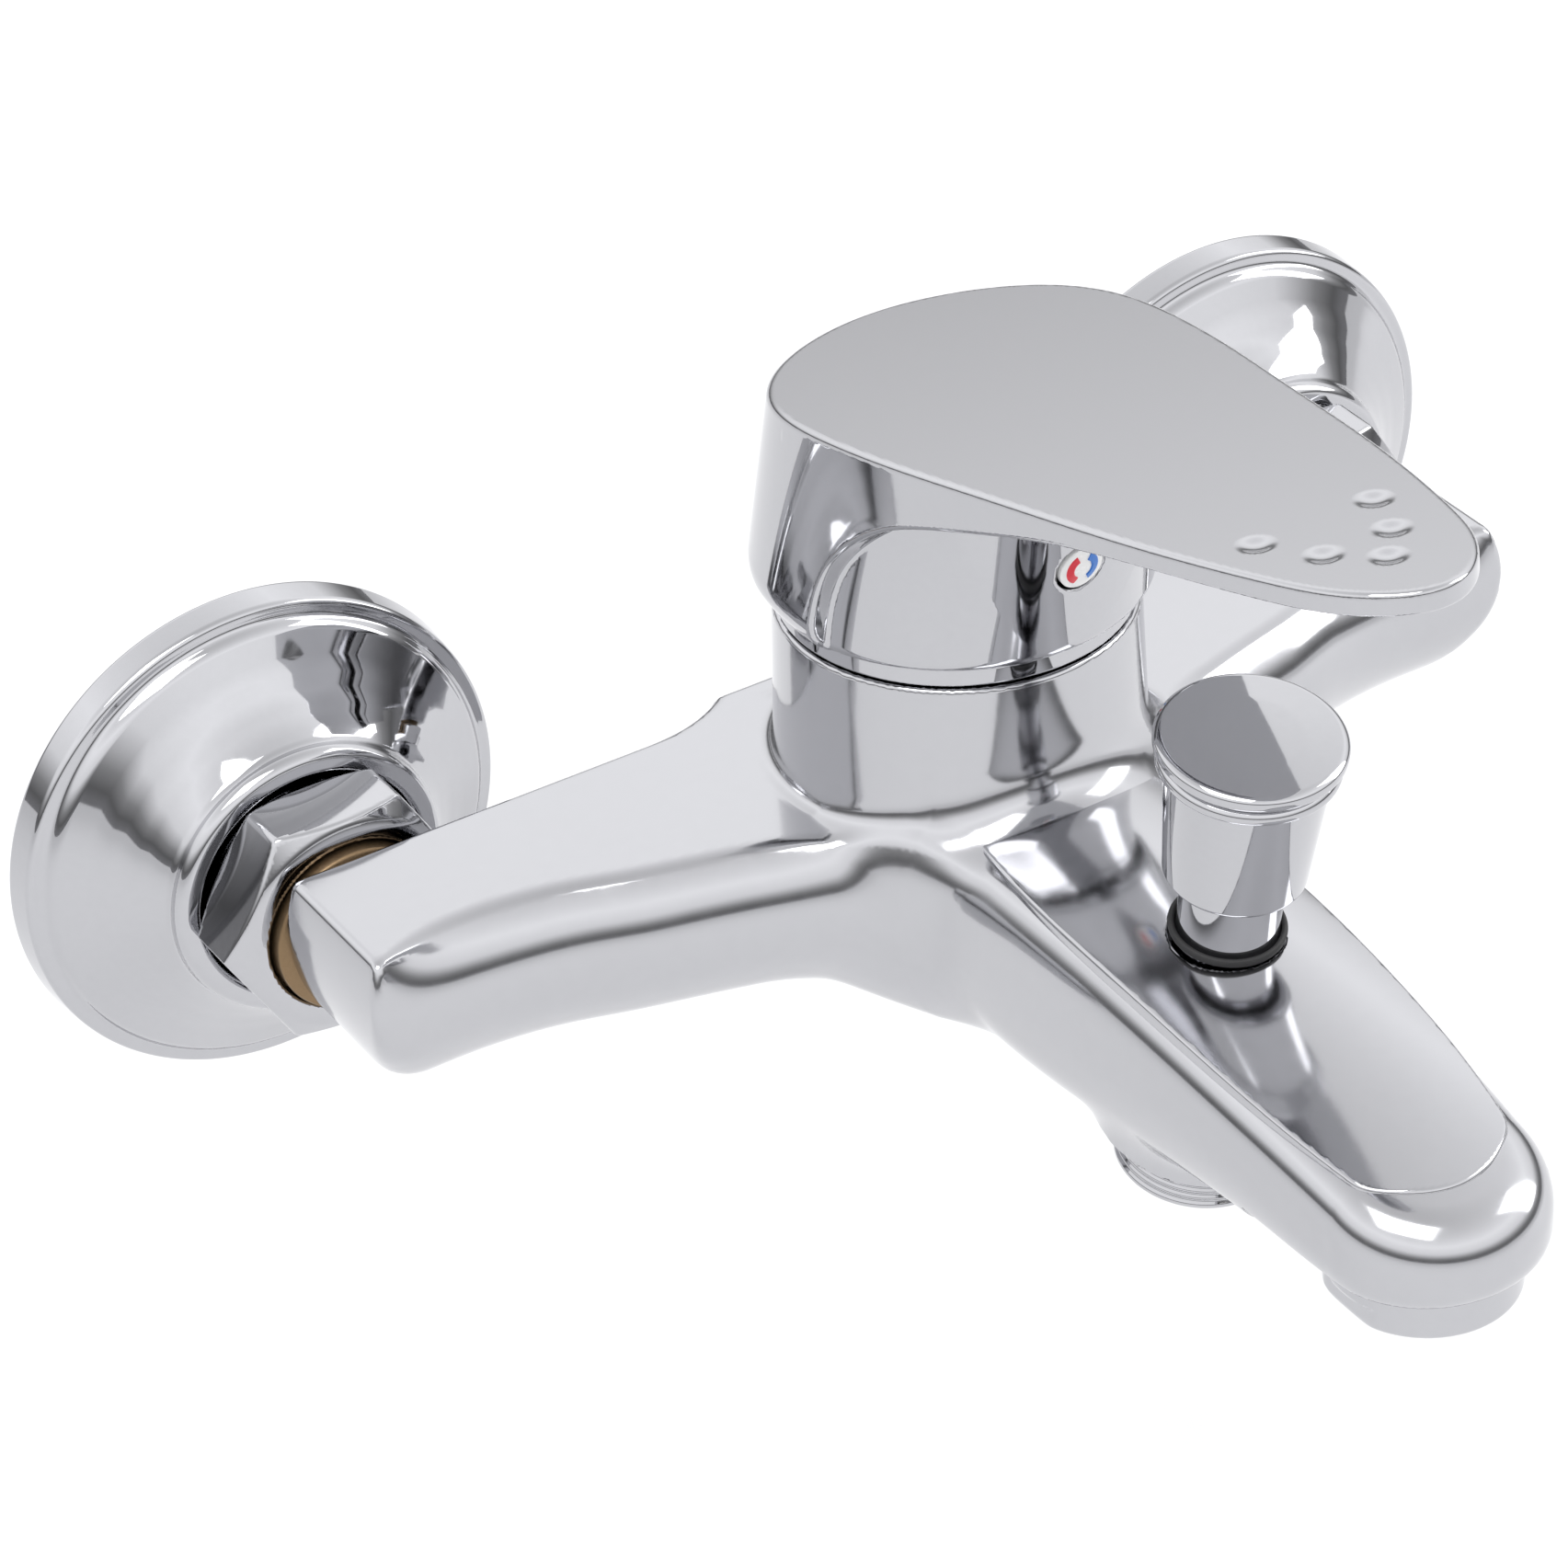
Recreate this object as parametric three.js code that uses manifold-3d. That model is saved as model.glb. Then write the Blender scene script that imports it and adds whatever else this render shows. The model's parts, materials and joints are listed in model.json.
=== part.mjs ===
// Wall mounted bath and shower mixer: a single lever body on two eccentric wall unions, with a lift knob
// that sends the water to the shower outlet. Millimetres. The wall is the plane y = 0, the mixer stands out
// along -Y, +Z is up, and the origin lies on the wall midway between the two inlets, at their height.
import * as THREE from "three";
import { mergeVertices } from "three/addons/utils/BufferGeometryUtils.js";
import Module from "manifold-3d";

const wasm = await Module();
wasm.setup();

// ---- Driving dimensions ----
const GAP = 0.3; // clearance between pieces that touch
const INLET_X = 75; // half of the 150 mm between the inlet centres
const TOWER_Y = -52; // axis of the round tower that holds the cartridge
const TOWER_TOP = 33;
const TOWER_R = 22.9;
const ARM_BACK = -30.5;
const ARM_FRONT = -54.4;
const ARM_TOP = 11.3;
const ARM_BOTTOM = -13.6;
const ARM_END = 85.4; // half length of the body along X
const NOSE_Y = -148; // centre of the spout's round nose
const NOSE_R = 14;
const AERATOR_SEAT = -6.5;
const AERATOR_R = 11.7;
const UNION_R = 13.2; // G 3/4 thread of the wall union
const WALL_THREAD_R = 10.4; // G 1/2
const WALL_DROP = -8; // the wall ends of the unions sit this far below the inlets
const FLANGE_R = 33.6;
const HEX_AF = 30; // across the flats of the union nuts
const NUT_FRONT = -28.5;
const WATER_Y = -46; // hot and cold waterways along the arms
const WATER_Z = -6.5;
const PORT_X = 6.6; // hot and cold ports of the cartridge
const PORT_Y = TOWER_Y - 6.4;
const MIXED_Y = TOWER_Y + 7.5;
const CARTRIDGE_R = 17.5;
const PIVOT_Z = 30; // the lever tips about this height
const HANDLE_BASE = 36.3;
const PADDLE_Z = 66.8; // height of the lever's top plane over the tower axis
const PADDLE_SLOPE = Math.tan(THREE.MathUtils.degToRad(9.45));
const PADDLE_EDGE = 3;
const SCREW_Z = 50; // height of the set screw and of the index button that covers it
const DRUM_R = 24.6; // the lever's foot, seen under its front edge
const BUTTON_Y = TOWER_Y - DRUM_R - 0.4;
const KNOB_LEAN = THREE.MathUtils.degToRad(9); // the diverter stands square to the sloping spout
const KNOB_Y = -108.5; // where the diverter axis leaves the spout
const KNOB_Z = 14.5;
const OUTLET_R = 10.5; // G 1/2 shower outlet

const group = new THREE.Group();

// ---- Materials ----
const finish = (color, metalness, roughness) => () =>
  new THREE.MeshStandardMaterial({ color, metalness, roughness });
const chrome = finish(0xd8d9de, 1, 0.08);
const brass = finish(0xb08d4a, 1, 0.35);
const steel = finish(0xb9bcc0, 1, 0.3);
const rubber = finish(0x1a1a1a, 0, 0.8);
const acetal = finish(0xe6e4dc, 0, 0.5);
const ceramic = finish(0xf3f1ea, 0, 0.25);
const white = finish(0xf4f4f2, 0, 0.3);
const red = finish(0xc8202a, 0, 0.4);
const blue = finish(0x1f5fb8, 0, 0.4);
const fibre = finish(0x5a3a26, 0, 0.9);

// ---- Solids ----
function solid(geometry) {
  geometry.deleteAttribute("normal");
  geometry.deleteAttribute("uv");
  const merged = mergeVertices(geometry, 1e-4);
  const vertProperties = merged.attributes.position.array;
  const triVerts = new Uint32Array(merged.index.array);
  return new wasm.Manifold(new wasm.Mesh({ numProp: 3, vertProperties, triVerts }));
}

function add(name, shape, material) {
  const made = shape.getMesh();
  const geometry = new THREE.BufferGeometry();
  geometry.setAttribute("position", new THREE.BufferAttribute(new Float32Array(made.vertProperties), 3));
  geometry.setIndex(new THREE.BufferAttribute(new Uint32Array(made.triVerts), 1));
  const mesh = new THREE.Mesh(geometry, material());
  mesh.name = name;
  group.add(mesh);
}

const union = (...shapes) => shapes.reduce((a, b) => a.add(b));
const cut = (base, ...tools) => tools.reduce((a, b) => a.subtract(b), base);
const rod = (r, from, to) => [[0, from], [r, from], [r, to], [0, to]];
const closed = (profile) => [...profile, profile[0]];
const tube = (inner, outer, from, to) => closed([[inner, from], [outer, from], [outer, to], [inner, to]]);
const turned = (profile, segments) =>
  new THREE.LatheGeometry(profile.map(([r, h]) => new THREE.Vector2(r, h)), segments);

// A turned solid standing on (x, y): the profile is a list of [radius, z], up the outside.
function turnedZ(profile, segments = 24, x = 0, y = TOWER_Y) {
  return solid(turned(profile, segments).rotateX(Math.PI / 2).translate(x, y, 0));
}

// A turned solid on a line square to the wall through (x, z): the profile is a list of [radius, y].
function turnedY(profile, segments, x, z = 0) {
  return solid(turned(profile, segments).translate(x, 0, z));
}

// A turned solid on the diverter axis: heights count from the spout's top face, negative below it.
const diverterFrame = new THREE.Matrix4()
  .makeTranslation(0, KNOB_Y, KNOB_Z)
  .multiply(new THREE.Matrix4().makeRotationX(KNOB_LEAN + Math.PI / 2));
function turnedDiverter(profile, segments = 20) {
  return solid(turned(profile, segments).applyMatrix4(diverterFrame));
}

// A round bar from one point to another.
function bar(r, from, to, segments = 10) {
  const a = new THREE.Vector3(...from);
  const b = new THREE.Vector3(...to);
  const way = b.clone().sub(a).normalize();
  const g = new THREE.CylinderGeometry(r, r, a.distanceTo(b), segments);
  g.applyQuaternion(new THREE.Quaternion().setFromUnitVectors(new THREE.Vector3(0, 1, 0), way));
  return solid(g.translate(...a.add(b).multiplyScalar(0.5).toArray()));
}

function block(width, depth, height, x, y, z) {
  return solid(new THREE.BoxGeometry(width, depth, height).translate(x, y, z));
}

// An outline extruded along one axis: "z" takes (x, y), "y" takes (x, z) and "x" takes (y, z).
function prism(shape, axis, from, to, curveSegments = 6) {
  const g = new THREE.ExtrudeGeometry(shape, { depth: to - from, bevelEnabled: false, curveSegments });
  g.translate(0, 0, from);
  if (axis === "y") g.rotateX(Math.PI / 2).translate(0, from + to, 0);
  if (axis === "x") {
    const turn = [new THREE.Vector3(0, 1, 0), new THREE.Vector3(0, 0, 1), new THREE.Vector3(1, 0, 0)];
    g.applyMatrix4(new THREE.Matrix4().makeBasis(...turn));
  }
  return solid(g);
}

// A skin over rings of points, all rings the same length, closed by a fan at each end.
function loft(rings) {
  const count = rings[0].length;
  const points = rings.flat();
  const middle = (ring) => ring.reduce((sum, p) => sum.add(p), new THREE.Vector3()).divideScalar(count);
  points.push(middle(rings[0]), middle(rings.at(-1)));
  const faces = [];
  for (let start = 0; start < (rings.length - 1) * count; start += count) {
    for (let i = 0; i < count; i++) {
      const a = start + i;
      const b = start + ((i + 1) % count);
      faces.push(a, b, b + count, a, b + count, a + count);
    }
  }
  const last = (rings.length - 1) * count;
  for (let i = 0; i < count; i++) {
    const next = (i + 1) % count;
    faces.push(points.length - 2, next, i, points.length - 1, last + i, last + next);
  }
  const g = new THREE.BufferGeometry().setFromPoints(points);
  g.setIndex(faces);
  return solid(g);
}

// ---- Body casting ----
// Side view of an arm, as (y, z): flat back and top, with a full round front that runs under to the back.
function armSide() {
  const s = new THREE.Shape();
  s.moveTo(ARM_BACK, ARM_TOP);
  s.lineTo(ARM_BACK, ARM_BOTTOM + 5);
  s.quadraticCurveTo(ARM_BACK, ARM_BOTTOM, ARM_BACK - 5, ARM_BOTTOM);
  s.lineTo(-39, ARM_BOTTOM);
  s.bezierCurveTo(-47.5, ARM_BOTTOM, ARM_FRONT, -7, ARM_FRONT, 2);
  s.bezierCurveTo(ARM_FRONT, 6.5, -53.4, ARM_TOP - 1.2, -50.4, ARM_TOP);
  return s;
}

// Front view of the arms, as (x, z): a long bar whose ends bulge at mid height and round under.
function armFace() {
  const s = new THREE.Shape();
  const straight = ARM_END - 13.1;
  s.moveTo(-straight, ARM_BOTTOM - 0.2);
  s.lineTo(straight, ARM_BOTTOM - 0.2);
  s.bezierCurveTo(straight + 7.2, ARM_BOTTOM - 0.2, ARM_END, -5.8, ARM_END, 4);
  s.bezierCurveTo(ARM_END, 7.2, ARM_END - 0.7, 10.2, ARM_END - 1.6, ARM_TOP + 1.6);
  s.lineTo(1.6 - ARM_END, ARM_TOP + 1.6);
  s.bezierCurveTo(0.7 - ARM_END, 10.2, -ARM_END, 7.2, -ARM_END, 4);
  s.bezierCurveTo(-ARM_END, -5.8, -straight - 7.2, ARM_BOTTOM - 0.2, -straight, ARM_BOTTOM - 0.2);
  return s;
}

// Plan of the arms, as (x, y): the front draws back a little towards each end.
function armPlan() {
  const s = new THREE.Shape();
  const end = ARM_END + 1;
  s.moveTo(-end, ARM_BACK + 1);
  s.lineTo(-end, ARM_FRONT + 4);
  s.quadraticCurveTo(-ARM_END + 10, ARM_FRONT, -60, ARM_FRONT - 0.1);
  s.lineTo(60, ARM_FRONT - 0.1);
  s.quadraticCurveTo(ARM_END - 10, ARM_FRONT, end, ARM_FRONT + 4);
  s.lineTo(end, ARM_BACK + 1);
  return s;
}

// Plan of the webs that sweep from the front of the arms into the sides of the spout.
function webPlan() {
  const s = new THREE.Shape();
  s.moveTo(-62, TOWER_Y + 6);
  s.lineTo(62, TOWER_Y + 6);
  s.lineTo(62, -49.6);
  s.bezierCurveTo(42, -54, 20, -57, 16, -84);
  s.lineTo(-16, -84);
  s.bezierCurveTo(-20, -57, -42, -54, -62, -49.6);
  return s;
}

// One section of the spout: rounded over the top and fuller below its widest level.
const SPOUT_SIDES = 20;
function spoutSection(y, half, top, widest, bottom) {
  return Array.from({ length: SPOUT_SIDES }, (_, i) => {
    const a = (i / SPOUT_SIDES) * 2 * Math.PI;
    const squareness = Math.sin(a) > 0 ? 0.72 : 0.9;
    const across = Math.sign(Math.cos(a)) * Math.abs(Math.cos(a)) ** squareness;
    const up = Math.abs(Math.sin(a)) ** squareness;
    const reach = (Math.sin(a) > 0 ? top : bottom) - widest;
    return new THREE.Vector3(half * across, y, widest + reach * up);
  });
}

// Stations of the spout: y, half width, top, widest level and bottom. The nose closes in a half circle.
function spout() {
  const stations = [
    [-46, 17.2, 11.2, -2.5, -14],
    [-66, 17.2, 12, -2.8, -17],
    [-80, 17, 12.2, -2.6, -17.8],
    [-96, 16.9, 12, -1.8, -17],
    [-110, 16.4, 10.8, -1, -15.4],
    [-124, 15.7, 9, -0.2, -12],
    [-136, 14.9, 7.4, 0.4, -8.4],
  ];
  for (const turn of [0, 0.5, 0.9, 1.2, 1.42]) {
    const half = NOSE_R * Math.cos(turn);
    const close = 1 - Math.cos(turn);
    const y = NOSE_Y - NOSE_R * Math.sin(turn);
    stations.push([y, half, 5.9 - 3.4 * close, 1, AERATOR_SEAT - 0.8 + 5 * close]);
  }
  const under = block(40, 42, 8, 0, NOSE_Y - 7, AERATOR_SEAT - 4);
  return loft(stations.map((s) => spoutSection(...s))).subtract(under);
}

// Raised panel along the top of the spout: plan, then the side view that sets its sloping face.
function panelPlan() {
  const s = new THREE.Shape();
  s.moveTo(-9.2, -150);
  s.quadraticCurveTo(0, -158, 9.2, -150);
  s.lineTo(12.5, -140);
  s.bezierCurveTo(14.2, -124, 14.8, -108, 14.7, -95);
  s.quadraticCurveTo(14.5, -82, 12, -72);
  s.lineTo(-12, -72);
  s.quadraticCurveTo(-14.5, -82, -14.7, -95);
  s.bezierCurveTo(-14.8, -108, -14.2, -124, -12.5, -140);
  return s;
}

// Its crowned face: stations of y, height on the centre line and height at the edges.
const PANEL_FACE = [
  [-66, 14.9, 12.6],
  [-82, 15.4, 12.9],
  [-95, 15.3, 12.7],
  [-108.5, 14.3, 11.8],
  [-124, 12, 9.9],
  [-140, 9, 7.4],
  [-158, 5, 3.9],
];

function panelFace() {
  const across = [-16, -11, -5.5, 0, 5.5, 11, 16];
  const rings = PANEL_FACE.map(([y, centre, edge]) => {
    const crown = across.map((x) => new THREE.Vector3(x, y, centre - (centre - edge) * (x / 14) ** 2));
    return [new THREE.Vector3(16, y, 0), ...crown.reverse(), new THREE.Vector3(-16, y, 0)];
  });
  return loft(rings);
}

function bodyCasting() {
  const tower = [
    [0, -16.4], [12, -16.4], [19, -13], [22.6, -7], [23, 8], [26, 11.3], [24.2, 14], [23.5, 18],
    [TOWER_R, TOWER_TOP], [0, TOWER_TOP],
  ];
  const arms = prism(armSide(), "x", -ARM_END, ARM_END, 5)
    .intersect(prism(armFace(), "y", -70, -20, 4))
    .intersect(prism(armPlan(), "z", -20, 20, 4));
  const panel = prism(panelPlan(), "z", 1, 20, 4).intersect(panelFace());
  const outside = union(arms, turnedZ(tower, 36), prism(webPlan(), "z", -11, 11), spout(), panel);
  const inlets = [-1, 1].flatMap((side) => [
    turnedY(rod(9.6, -47, ARM_BACK + 1), 20, side * INLET_X),
    bar(3.6, [side * (INLET_X + 2), WATER_Y, WATER_Z], [side * 12, WATER_Y, WATER_Z]),
    bar(2.3, [side * 13, WATER_Y + 1, WATER_Z], [side * PORT_X, PORT_Y, WATER_Z]),
    bar(2.3, [side * PORT_X, PORT_Y, WATER_Z - 2], [side * PORT_X, PORT_Y, 0]),
  ]);
  return cut(
    outside,
    turnedZ(rod(CARTRIDGE_R + 0.4, -1.5, TOWER_TOP + 1)),
    turnedZ(rod(20.3, 24.4, TOWER_TOP + 1), 28),
    ...inlets,
    bar(3.4, [0, MIXED_Y, WATER_Z], [0, MIXED_Y, 0]),
    bar(3, [0, MIXED_Y, WATER_Z], [0, KNOB_Y, 2 * WATER_Z + 11]),
    turnedDiverter(rod(6.8, -4, 8)),
    turnedDiverter(rod(7.8, -7.6, -3.8)),
    turnedDiverter(rod(5.3, -24, -7)),
    turnedDiverter(rod(7.8, -21, -8.5)),
    turnedDiverter(rod(8.8, -40, -22.4)),
    turnedDiverter(rod(11.4, -40, -31.2)),
    bar(2.3, [0, KNOB_Y, 9.2], [0, NOSE_Y + 6, 0.6]),
    turnedZ(rod(10.7, -12, 1.4), 28, 0, NOSE_Y + 1),
  );
}

// ---- Inlets: wall union, escutcheon, nut, gasket, strainer and nipple ----
function circle(x, y, z, r, count = 20) {
  return Array.from({ length: count }, (_, i) => {
    const a = (i / count) * 2 * Math.PI;
    return new THREE.Vector3(x + r * Math.sin(a), y, z + r * Math.cos(a));
  });
}

function wallUnion(x) {
  const outside = loft([
    circle(x, -19, 0, UNION_R),
    circle(x, -3.4, 0, UNION_R),
    circle(x, 3, WALL_DROP, WALL_THREAD_R + 0.4),
    circle(x, 16, WALL_DROP, WALL_THREAD_R),
  ]);
  const bore = loft([
    circle(x, -21, 0, 8),
    circle(x, -6, 0, 8),
    circle(x, 4, WALL_DROP, 6.6),
    circle(x, 18, WALL_DROP, 6.6),
  ]);
  return outside.subtract(bore);
}

// The bell hides the hole in the wall. Its inner web carries the collar that screws on to the union.
const ESCUTCHEON = [
  [13.6, -11.6], [15.4, -11.6], [15.4, -17.2], [16, -17.8], [17.9, -17.8], [18.8, -16.8], [18.8, -15.2],
  [20.6, -13.2], [23.2, -10.9], [26.4, -8.6], [30.4, -6.2], [31.2, -4.9], [33.1, -4.8], [FLANGE_R, 0],
  [32, 0], [31.8, -3.4], [27.2, -5.8], [22, -10], [15.2, -10], [15.2, -5.4], [13.6, -5.4],
];

function unionNut(x) {
  const corner = HEX_AF / 2 / Math.cos(Math.PI / 6);
  const corners = Array.from({ length: 6 }, (_, i) => {
    const a = (i * Math.PI) / 3;
    return new THREE.Vector2(x + corner * Math.cos(a), corner * Math.sin(a));
  });
  const chamfers = [
    [0, NUT_FRONT], [14, NUT_FRONT], [corner + 0.1, NUT_FRONT + 1.9], [corner + 0.1, -19.6], [15, -18.2],
    [15, -12.9], [0, -12.9],
  ];
  return cut(
    prism(new THREE.Shape(corners), "y", NUT_FRONT, -12.9).intersect(turnedY(chamfers, 30, x)),
    turnedY(rod(UNION_R + GAP, -24.4, -10), 24, x),
    turnedY(rod(11.7, NUT_FRONT - 1, -20), 24, x),
  );
}

function strainer(x) {
  const holes = [[0, 0]];
  for (let i = 0; i < 6; i++) {
    const a = (i * Math.PI) / 3;
    holes.push([4.6 * Math.cos(a), 4.6 * Math.sin(a)]);
  }
  const plate = turnedY(rod(7.7, -18.4, -17.2), 20, x);
  return cut(plate, ...holes.map(([dx, dz]) => turnedY(rod(1.4, -20, -16), 6, x + dx, dz)));
}

function inletSet(side, name) {
  const x = side * INLET_X;
  const nipple = [
    [7, -44], [9.3, -44], [9.3, -30], [11.3, -30], [11.3, -24], [13.1, -24], [13.1, -21.6], [7, -21.6],
  ];
  add(name + "_wall_union", wallUnion(x), chrome);
  add(name + "_escutcheon", turnedY(closed(ESCUTCHEON), 28, x), chrome);
  add(name + "_union_nut", unionNut(x), chrome);
  add(name + "_inlet_gasket", turnedY(tube(8.5, 12.9, -21.3, -19.3), 20, x), fibre);
  add(name + "_strainer", strainer(x), steel);
  add(name + "_inlet_nipple", turnedY(closed(nipple), 20, x), brass);
}

// ---- Cartridge ----
const PORTS = [
  ["hot_port_seal", -PORT_X, PORT_Y, 2.3],
  ["cold_port_seal", PORT_X, PORT_Y, 2.3],
  ["mixed_port_seal", 0, MIXED_Y, 3.4],
];
const portHoles = (from, to) => PORTS.map(([, x, y, r]) => bar(r, [x, y, from], [x, y, to]));

function cartridgeParts() {
  add("cartridge_base", cut(turnedZ(rod(CARTRIDGE_R, 0, 5)), ...portHoles(-1, 6)), acetal);
  for (const [name, x, y, r] of PORTS) add(name, turnedZ(tube(r, r + 1.2, -1.2, -GAP), 14, x, y), rubber);
  add("fixed_disc", cut(turnedZ(rod(15.3, 5.3, 8.7)), ...portHoles(5, 9)), ceramic);
  const mixingPocket = block(14, 8, 2.4, 0, TOWER_Y + 0.4, 9.6);
  const returnPocket = bar(3.8, [0, TOWER_Y + 6.2, 8.4], [0, TOWER_Y + 6.2, 10.8]);
  add("moving_disc", cut(turnedZ(rod(11.6, 9, 12.2)), mixingPocket, returnPocket), ceramic);
  const carrier = turnedZ([[0, 12.5], [11.6, 12.5], [11.6, 14.6], [6.4, 15.4], [6.4, 19.4], [0, 19.4]], 24);
  add("disc_carrier", carrier.subtract(block(6.8, 6.8, 7, 0, TOWER_Y, 18)), acetal);
  const shell = [
    [15.7, 5.3], [17.5, 5.3], [17.5, 23.6], [15.5, 23.6], [15.5, 33.4], [14.2, 33.4], [14.2, 20], [15.7, 20],
  ];
  add("cartridge_housing", turnedZ(closed(shell)), acetal);
}

function spindleParts() {
  const sleeve = cut(
    turnedZ([[0, 20.4], [13.9, 20.4], [13.9, 36.5], [10.6, 38.8], [0, 38.8]]),
    block(8.8, 17.6, 40, 0, TOWER_Y, 30),
    bar(1.8, [-20, TOWER_Y, PIVOT_Z], [20, TOWER_Y, PIVOT_Z]),
  );
  add("turning_sleeve", sleeve, acetal);
  add("pivot_pin", bar(1.5, [-12.6, TOWER_Y, PIVOT_Z], [12.6, TOWER_Y, PIVOT_Z]), steel);
  const ball = solid(new THREE.SphereGeometry(3, 14, 10).translate(0, TOWER_Y, 19.6));
  const spindle = union(block(8, 8, 31, 0, TOWER_Y, 38.9), turnedZ(rod(2.2, 19.6, 24), 14), ball);
  const pinHole = bar(1.8, [-9, TOWER_Y, PIVOT_Z], [9, TOWER_Y, PIVOT_Z]);
  add("lever_spindle", spindle.subtract(pinHole), brass);
  const keyways = Array.from({ length: 4 }, (_, i) => {
    const a = (i * Math.PI) / 2 + Math.PI / 4;
    const foot = [19.6 * Math.cos(a), TOWER_Y + 19.6 * Math.sin(a)];
    return bar(1.7, [...foot, 30], [...foot, 36], 8);
  });
  add("cartridge_lock_nut", cut(turnedZ(tube(15.9, 19.9, 24.8, 33.2), 24), ...keyways), brass);
  const bonnet = [
    [20.6, 33.3], [22.5, 33.3], [22.5, 35.8], [21.6, 36.3], [16.8, 39.4], [16, 38.8], [20.6, 35.4],
  ];
  add("bonnet_ring", turnedZ(closed(bonnet), 32), chrome);
}

// ---- Lever handle ----
const paddleHeight = (forward) => PADDLE_Z + PADDLE_SLOPE * forward;

// Plan of the lever's top, as (x, y) about the tower axis: round behind, closing in to a round tip in front.
function paddlePlan() {
  const s = new THREE.Shape();
  s.moveTo(24.7, -7);
  s.bezierCurveTo(24.7, -32, 18.5, -58, 14.2, -76);
  s.bezierCurveTo(11.8, -89, 8, -96, 0, -96);
  s.bezierCurveTo(-8, -96, -11.8, -89, -14.2, -76);
  s.bezierCurveTo(-18.5, -58, -24.7, -32, -24.7, -7);
  s.bezierCurveTo(-24.7, 7.5, -13.6, 18.1, 0, 18.1);
  s.bezierCurveTo(13.6, 18.1, 24.7, 7.5, 24.7, -7);
  return s;
}

// A plate of the paddle's outline, sheared so that its faces follow the slope.
function paddlePlate() {
  const options = { depth: PADDLE_EDGE, bevelEnabled: false, curveSegments: 7 };
  const g = new THREE.ExtrudeGeometry(paddlePlan(), options).translate(0, 0, -PADDLE_EDGE);
  const slope = new THREE.Matrix4().makeShear(0, 0, 0, -PADDLE_SLOPE, 0, 0);
  return solid(g.applyMatrix4(slope).translate(0, TOWER_Y, PADDLE_Z));
}

// Sections of the shell between its foot and the paddle: height, then reach behind and to the sides. In front
// every section runs on under the paddle, as far as SHELL_FRONT.
const SHELL_FRONT = 60;
const SHELL = [
  [HANDLE_BASE, 23.8, 23.8],
  [37.6, 25.1, 25.1],
  [41.5, 26.2, 26.2],
  [49, 24.7, 26],
  [56, 22, 25.4],
  [62, 19.8, 24.9],
];

// The shell's front edge as (reach, height): it sweeps from the foot forward under the paddle.
const SHELL_EDGE = [
  [7, 30], [7.4, 40], [9.4, 47], [12.3, 52.1], [17.9, 58], [25.9, 63], [33.1, 65.7], [44, 69.6], [60.7, 73.8],
  [100, 79.8],
];

function shell() {
  const ring = (back, side, front, height) =>
    Array.from({ length: 40 }, (_, i) => {
      const a = (i / 40) * 2 * Math.PI;
      const y = Math.sin(a) * (Math.sin(a) > 0 ? back : front);
      return new THREE.Vector3(side * Math.cos(a), TOWER_Y + y, height(-y));
    });
  const rings = SHELL.map(([z, back, side]) => ring(back, side, SHELL_FRONT, () => z));
  const underPlate = ring(17.8, 24.3, SHELL_FRONT, (forward) => paddleHeight(forward) - 0.8);
  const behindEdge = new THREE.Shape();
  behindEdge.moveTo(TOWER_Y + 30, 30);
  for (const [forward, z] of SHELL_EDGE) behindEdge.lineTo(TOWER_Y - forward, z);
  behindEdge.lineTo(TOWER_Y - 100, 90);
  behindEdge.lineTo(TOWER_Y + 30, 90);
  return loft([...rings, underPlate]).intersect(prism(behindEdge, "x", -30, 30));
}

// The drum under the paddle, set back from the shell's front edge.
function drum() {
  const outside = turnedZ([
    [0, HANDLE_BASE], [DRUM_R - 1, HANDLE_BASE], [DRUM_R, HANDLE_BASE + 1.2], [DRUM_R, 66], [0, 66],
  ], 40);
  return outside.intersect(block(60, 30, 60, 0, TOWER_Y - 15, 50));
}

const DIMPLES = [[-8, 72], [-4.6, 79.6], [0, 85], [4.6, 79.6], [8, 72]];

function handleLever() {
  const hollow = [
    [0, HANDLE_BASE - 1], [23.2, HANDLE_BASE - 1], [23.2, 38.4], [22.4, 41], [20.6, 48], [18, 54], [0, 54],
  ];
  const boss = turnedZ([[0, 45], [9, 45], [9.6, 54.5], [0, 54.5]], 20);
  const dimples = DIMPLES.map(([x, forward]) => {
    const centre = [x, TOWER_Y - forward, paddleHeight(forward) + 2];
    return solid(new THREE.SphereGeometry(2.8, 8, 6).translate(...centre));
  });
  return cut(
    union(cut(union(shell(), drum(), paddlePlate()), turnedZ(hollow, 28)), boss),
    block(8 + 2 * GAP, 8 + 2 * GAP, 12, 0, TOWER_Y, 49.6),
    bar(2.3, [0, TOWER_Y, SCREW_Z], [0, TOWER_Y - 16, SCREW_Z]),
    bar(3.3, [0, TOWER_Y - 16, SCREW_Z], [0, TOWER_Y - 40, SCREW_Z], 20),
    ...dimples,
  );
}

// A curved mark on the face of the index button, between two angles and grown by a margin all round.
function indexMark(from, to, margin, front, back) {
  const s = new THREE.Shape();
  s.absarc(0, SCREW_Z, 2.1 + margin, from - margin / 2, to + margin / 2, false);
  s.absarc(0, SCREW_Z, 1.2 - margin, to + margin / 2, from - margin / 2, true);
  return prism(s, "y", front, back, 5);
}

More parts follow.
